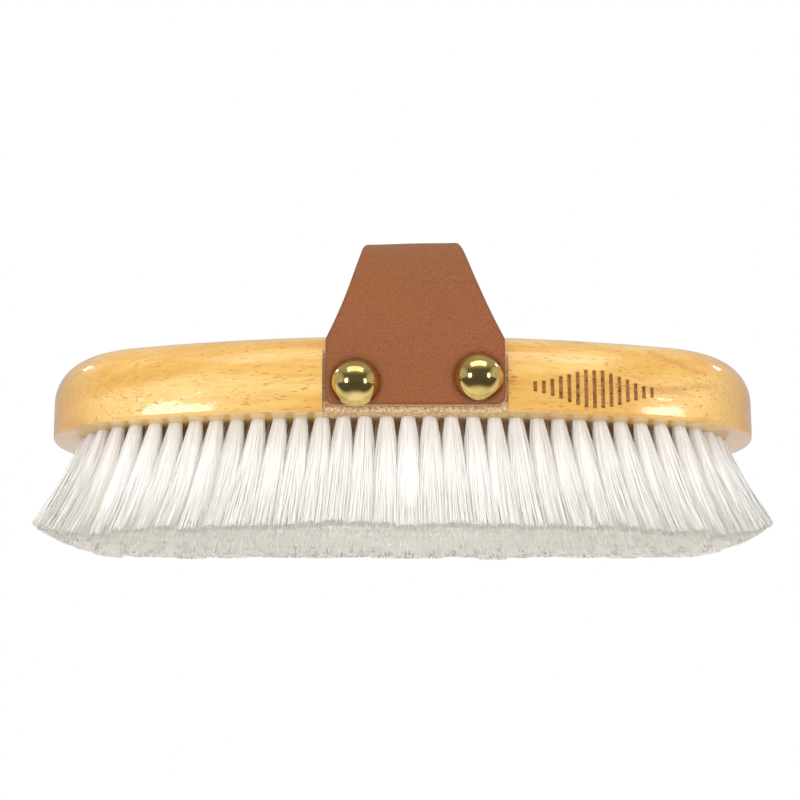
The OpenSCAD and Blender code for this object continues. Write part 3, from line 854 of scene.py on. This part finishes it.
outer, second, row = ring_positions(0), ring_positions(1), row_positions()
for part, spots in enumerate(by_heading(outer, 5)):
    name = f"hair_ring_1_{part}"
    build_tufts(name, spots, 300, 6, FINE_HAIR, 100 + part, "tufts_ring_1", HAIR)
for part, spots in enumerate(by_heading(second, 2)):
    name = f"hair_ring_2_{part}"
    build_tufts(name, spots, 170, 5, FINE_HAIR, 200 + part, "tufts_ring_2")
for k in range(2, RINGS):
    name, node = f"hair_ring_{k + 1}", f"tufts_ring_{k + 1}"
    build_tufts(name, ring_positions(k), 130, 4, THICK_HAIR, 300 + k, node)
build_tufts("hair_middle_row", row, 130, 4, THICK_HAIR, 400, "tufts_middle_row")
build_stray("hair_stray_outer", outer, 70, 2.4 * MM, 0.7 * MM, 500)
build_stray("hair_stray_inner", np.concatenate([second, row]), 40, 3.5 * MM, 2.2 * MM, 501)

# ---------------------------------------------------------------- stage, camera and light


FLOOR_Z = -0.55
FLOOR_HALF = 40
FLOOR_GLOW = 0.13


def floor_material():
    """Pale floor; in mirror reflections its part in front is dark, so that the domes have contrast."""
    m = Nodes("pale_floor")
    soft = m.noise(m.scaled(3, 3, 3), detail=2)
    pale = m.mix(m.ramp(soft, 0.3, 0.7), (0.93, 0.93, 0.93), (0.915, 0.915, 0.915))
    away = m.add("ShaderNodeVectorMath", operation="LENGTH")
    m.link(m.coords, away.inputs[0])
    mirrored = m.add("ShaderNodeLightPath").outputs["Is Glossy Ray"]
    dark = m.math("MULTIPLY", mirrored, m.ramp(away.outputs["Value"], 0.55, 0.95))
    dark = m.math("MULTIPLY", dark, m.ramp(m.axis(1), -0.5, 0.0, 1.0, 0.0))
    m.set(Base_Color=m.mix(dark, pale, (0.10, 0.10, 0.09)), Roughness=0.9)
    glow = m.math("SUBTRACT", FLOOR_GLOW, m.math("MULTIPLY", dark, FLOOR_GLOW))
    m.set(Emission_Color=(1, 1, 1), Emission_Strength=glow)
    return m.material


corners = [(-1, -1), (1, -1), (1, 1), (-1, 1)]
corners = [(x * FLOOR_HALF, y * FLOOR_HALF, FLOOR_Z) for x, y in corners]
new_mesh("floor", corners, [[0, 1, 2, 3]], [floor_material()], smooth=False, lift=0)


def studio_world():
    """White for the camera; for the object a soft room, whose mirror image is dark in front."""
    world = bpy.data.worlds.new("studio")
    bpy.context.scene.world = world
    world.use_nodes = True
    tree = world.node_tree
    back = tree.nodes["Background"]

    def node(kind, **values):
        n = tree.nodes.new(kind)
        for key, value in values.items():
            setattr(n, key, value)
        return n

    def mapped(value, low, high, to_low, to_high):
        n = node("ShaderNodeMapRange", interpolation_type="SMOOTHSTEP")
        tree.links.new(value, n.inputs["Value"])
        for key, v in zip(RANGE_INPUTS, (low, high, to_low, to_high)):
            n.inputs[key].default_value = v
        return n.outputs["Result"]

    def joined(operation, a, b):
        n = node("ShaderNodeMath", operation=operation)
        for value, socket in ((a, n.inputs[0]), (b, n.inputs[1])):
            if isinstance(value, float):
                socket.default_value = value
            else:
                tree.links.new(value, socket)
        return n.outputs[0]

    direction = node("ShaderNodeSeparateXYZ")
    tree.links.new(node("ShaderNodeTexCoord").outputs["Generated"], direction.inputs[0])
    x, y, z = direction.outputs
    ray = node("ShaderNodeLightPath").outputs
    above = mapped(z, 0.30, 0.80, 0.0, 0.45)
    beside = mapped(joined("ABSOLUTE", x, 0.0), 0.62, 0.90, 0.0, 0.62)
    behind = mapped(y, -0.10, 0.50, 0.0, 0.55)
    below = mapped(z, -0.50, -0.12, 0.75, 0.0)
    mirrored = 0.13
    for share in (above, beside, behind, below):
        mirrored = joined("MAXIMUM", share, mirrored)
    room = mapped(y, -0.95, 0.0, 1.04, 0.82)

    def switched(ray_kind, value, otherwise):
        step = joined("MULTIPLY", ray[ray_kind], joined("SUBTRACT", value, otherwise))
        return joined("ADD", step, otherwise)

    shown = switched("Is Camera Ray", 1.0, switched("Is Glossy Ray", mirrored, room))
    back.inputs["Color"].default_value = (1, 1, 1, 1)
    tree.links.new(shown, back.inputs["Strength"])


studio_world()


def area(name, place, size, power):
    """A soft rectangular lamp aimed at the middle of the block's underside."""
    data = bpy.data.lights.new(name, "AREA")
    data.shape = "RECTANGLE"
    data.size, data.size_y = size
    data.energy = power
    ob = bpy.data.objects.new(name, data)
    bpy.context.scene.collection.objects.link(ob)
    ob.location = place
    ob.rotation_euler = (Vector((0, 0, BASE)) - Vector(place)).to_track_quat("-Z", "Y").to_euler()


area("softbox_left", (-0.53, -0.685, BASE + 0.05), (0.17, 0.22), 1.35)
area("softbox_right", (0.60, -0.63, BASE + 0.05), (0.11, 0.22), 0.95)
area("rim_left", (-0.70, 0.29, BASE + 0.60), (0.09, 0.09), 0.4)
area("rim_right", (0.70, 0.29, BASE + 0.60), (0.09, 0.09), 0.35)
area("softbox_above", (0.0, -0.45, 0.75), (0.9, 0.4), 2.0)

CAMERA_PLACE = (-0.00077, -0.55018, BASE - 0.11807)
PITCH = 0.2345  # the camera looks up at the brush by this angle
SENSOR = 36.0
LENS = 88.0326

cam_data = bpy.data.cameras.new("camera")
cam_data.sensor_width = SENSOR
cam_data.lens = LENS
cam_data.clip_start = 0.01
cam = bpy.data.objects.new("camera", cam_data)
bpy.context.scene.collection.objects.link(cam)
cam.location = CAMERA_PLACE
cam.rotation_euler = (math.pi / 2 + PITCH, 0, 0)
bpy.context.scene.camera = cam
bpy.context.scene.view_settings.view_transform = "Standard"
bpy.context.scene.view_settings.look = "None"
